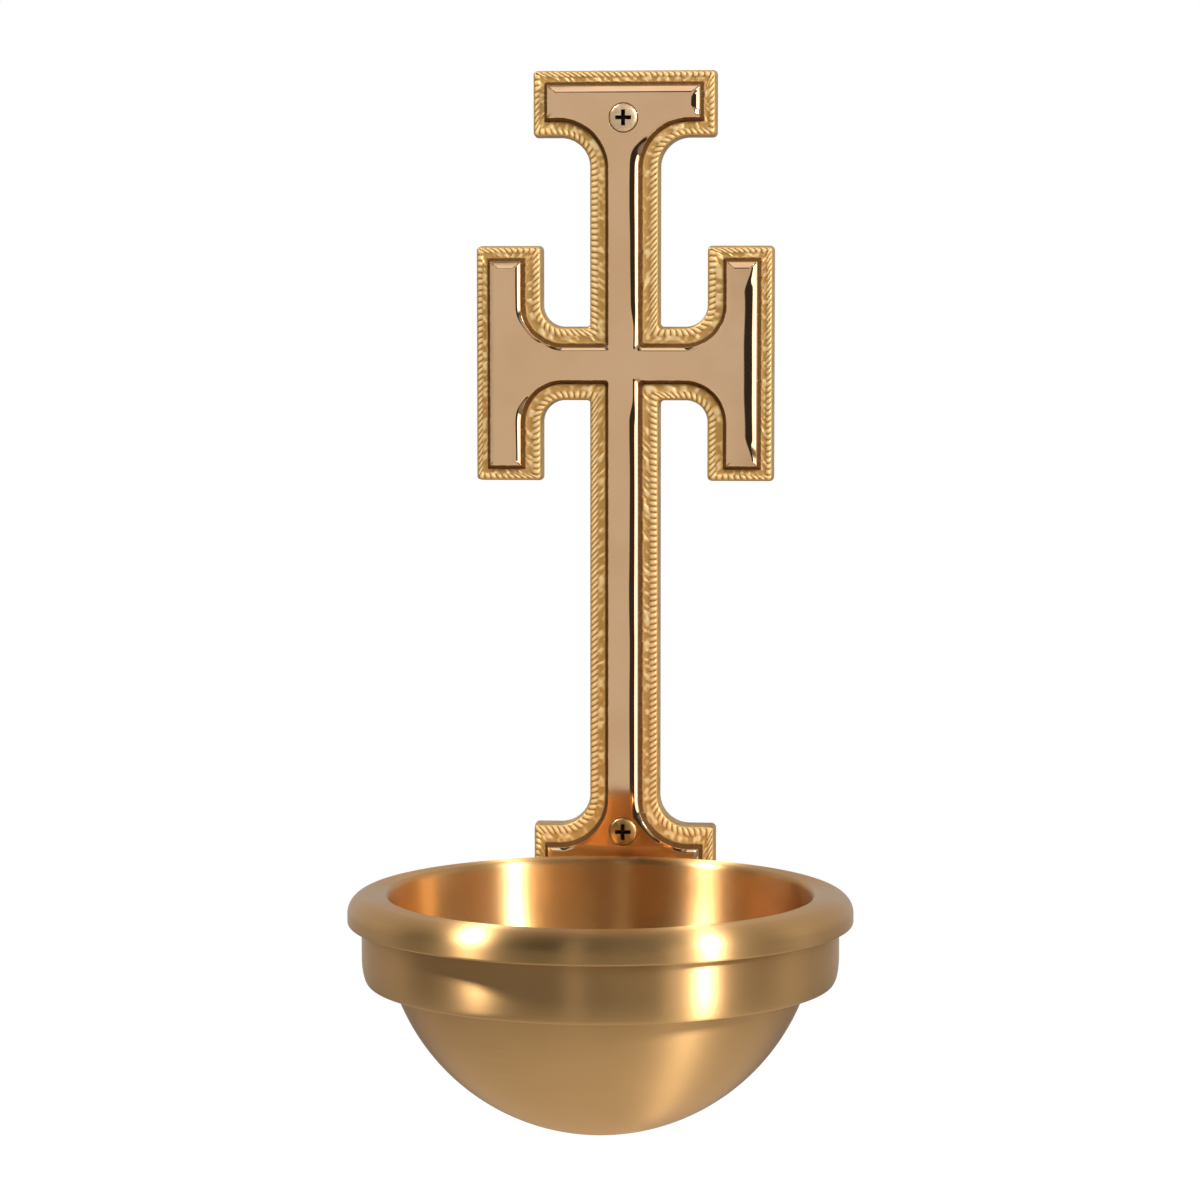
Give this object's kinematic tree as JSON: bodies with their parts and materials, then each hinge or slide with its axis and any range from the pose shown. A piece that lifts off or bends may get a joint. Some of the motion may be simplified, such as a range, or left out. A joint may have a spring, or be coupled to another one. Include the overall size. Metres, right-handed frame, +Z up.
{
  "type": "holy water stoup",
  "caption": "Wall-hung holy water stoup: a cast cross plate with a raised polished face carries a ring on a saddle block, and a half-round bowl with a rolled rim hangs in the ring to lift out.",
  "frame": {"origin": "centre of the crossing, on the plate's back face, which lies on the wall", "axes": "+X to the right as seen from the front, +Y into the wall, +Z up"},
  "size_m": [0.1364, 0.1704, 0.2901],
  "materials": {
    "polished_bronze": "cast, raised face polished bright, border left stippled with a corded edge",
    "satin_brass": "spun and satin brushed round the axis",
    "plain_brass": "plain machined",
    "screw_brass": "plain turned"
  },
  "bodies": {
    "wall_fitting": {"cross_plate": "polished_bronze", "support_ring": "satin_brass", "ring_saddle": "plain_brass", "wall_screw_upper": "screw_brass", "wall_screw_lower": "screw_brass", "ring_screw_left": "screw_brass", "ring_screw_right": "screw_brass"},
    "bowl": {"bowl": "satin_brass"}
  },
  "joints": [
    {"name": "bowl_lift", "type": "slide", "parent": "wall_fitting", "child": "bowl", "axis": [0, 0, 1], "range_m": [0, 0.07]}
  ]
}
